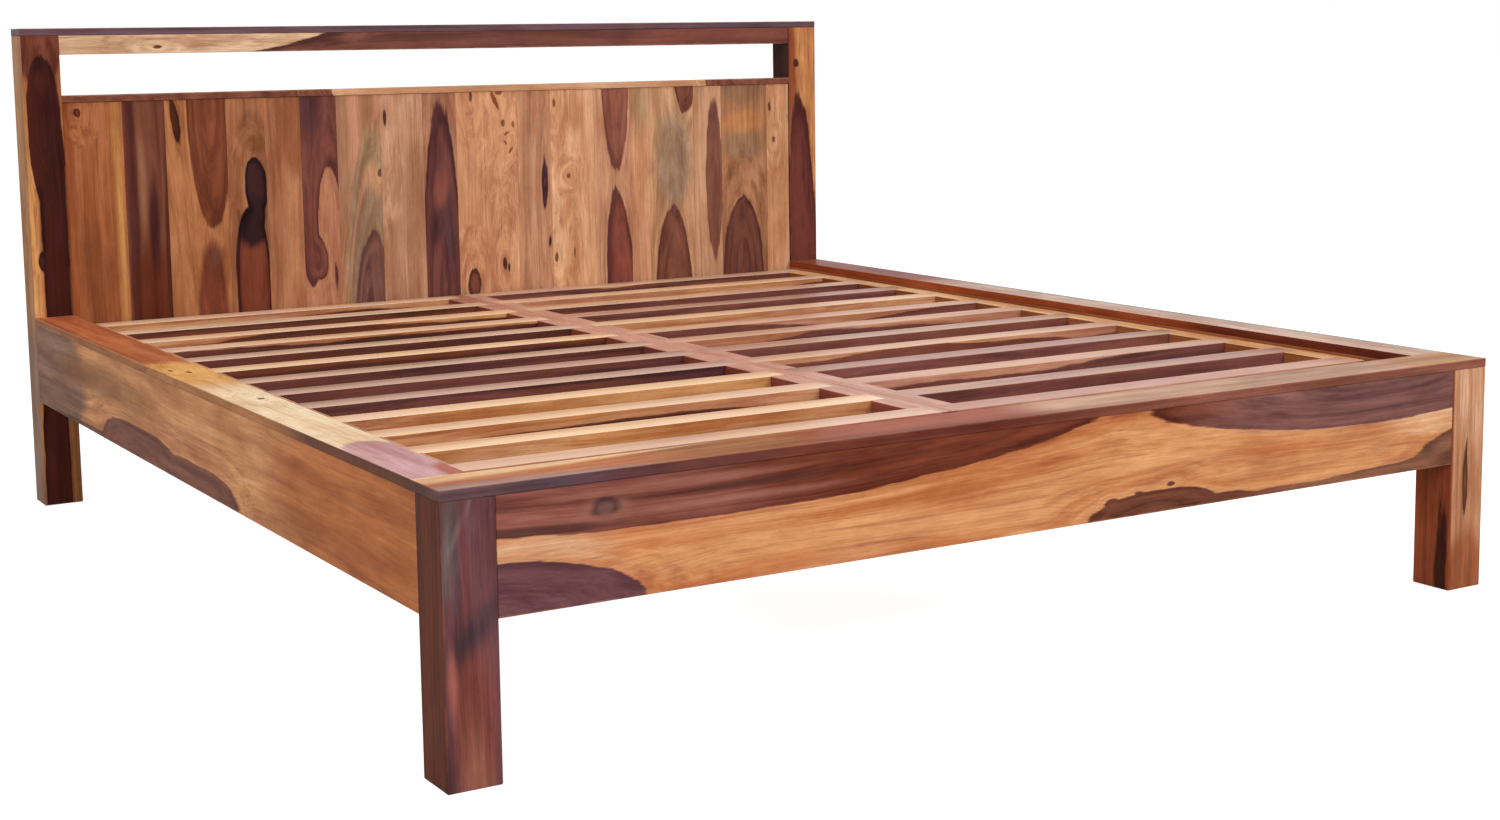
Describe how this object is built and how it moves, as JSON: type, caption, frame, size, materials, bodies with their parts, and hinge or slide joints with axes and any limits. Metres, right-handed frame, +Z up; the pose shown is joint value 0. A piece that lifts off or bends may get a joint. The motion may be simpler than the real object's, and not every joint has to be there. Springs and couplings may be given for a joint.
{
  "type": "bed",
  "caption": "Wooden bed with a plank headboard, wide flat cap boards round a recessed mattress deck, and lift-out slatted deck halves on a centre beam.",
  "frame": {"origin": "on the floor, under the middle of the bed's outline", "axes": "+X to the right as seen from the foot end, +Y along the bed towards the headboard, +Z up"},
  "size_m": [1.97, 2.221, 1.012],
  "materials": {
    "wood_dark": "satin lacquer",
    "wood_brown": "satin lacquer",
    "wood_orange": "satin lacquer",
    "wood_light": "satin lacquer",
    "steel": "zinc plated",
    "brass": "turned"
  },
  "bodies": {
    "frame": {"panel_plank_01": "wood_orange", "panel_plank_02": "wood_brown", "panel_plank_03": "wood_light", "panel_plank_04": "wood_light", "panel_plank_05": "wood_orange", "panel_plank_06": "wood_dark", "panel_plank_07": "wood_brown", "panel_plank_08": "wood_light", "panel_plank_09": "wood_dark", "panel_plank_10": "wood_orange", "panel_plank_11": "wood_light", "panel_plank_12": "wood_orange", "panel_plank_13": "wood_brown", "panel_plank_14": "wood_light", "panel_plank_15": "wood_orange", "panel_plank_16": "wood_dark", "panel_plank_17": "wood_brown", "panel_plank_18": "wood_light", "head_post_left": "wood_dark", "head_post_right": "wood_orange", "head_cap_board": "wood_dark", "head_top_rail": "wood_orange", "panel_cap_strip": "wood_brown", "head_bottom_rail": "wood_brown", "foot_leg_left": "wood_dark", "foot_leg_right": "wood_orange", "foot_rail": "wood_orange", "foot_cap_board": "wood_brown", "side_rail_left": "wood_orange", "side_rail_right": "wood_orange", "side_cap_left": "wood_light", "side_cap_right": "wood_light", "cap_batten_left": "wood_brown", "cap_batten_right": "wood_brown", "deck_cleat_left": "wood_orange", "deck_cleat_right": "wood_orange", "centre_beam": "wood_orange", "centre_leg": "wood_brown", "cap_dowels": "wood_light", "beam_shoes": "steel", "rail_bolts": "steel", "half_moon_washers": "steel", "rail_nuts": "steel", "batten_screws": "steel", "cleat_screws": "steel", "shoe_screws": "steel", "centre_leg_bolt": "steel", "thread_inserts": "brass"},
    "left_deck": {"left_deck_outer_bar": "wood_light", "left_deck_inner_bar": "wood_light", "left_deck_slats": "wood_light", "left_deck_screws": "steel"},
    "right_deck": {"right_deck_outer_bar": "wood_light", "right_deck_inner_bar": "wood_light", "right_deck_slats": "wood_light", "right_deck_screws": "steel"}
  },
  "joints": [
    {"name": "left_deck_lift", "type": "slide", "parent": "frame", "child": "left_deck", "axis": [0, 0, 1], "range_m": [0, 0.12]},
    {"name": "right_deck_lift", "type": "slide", "parent": "frame", "child": "right_deck", "axis": [0, 0, 1], "range_m": [0, 0.12]}
  ]
}
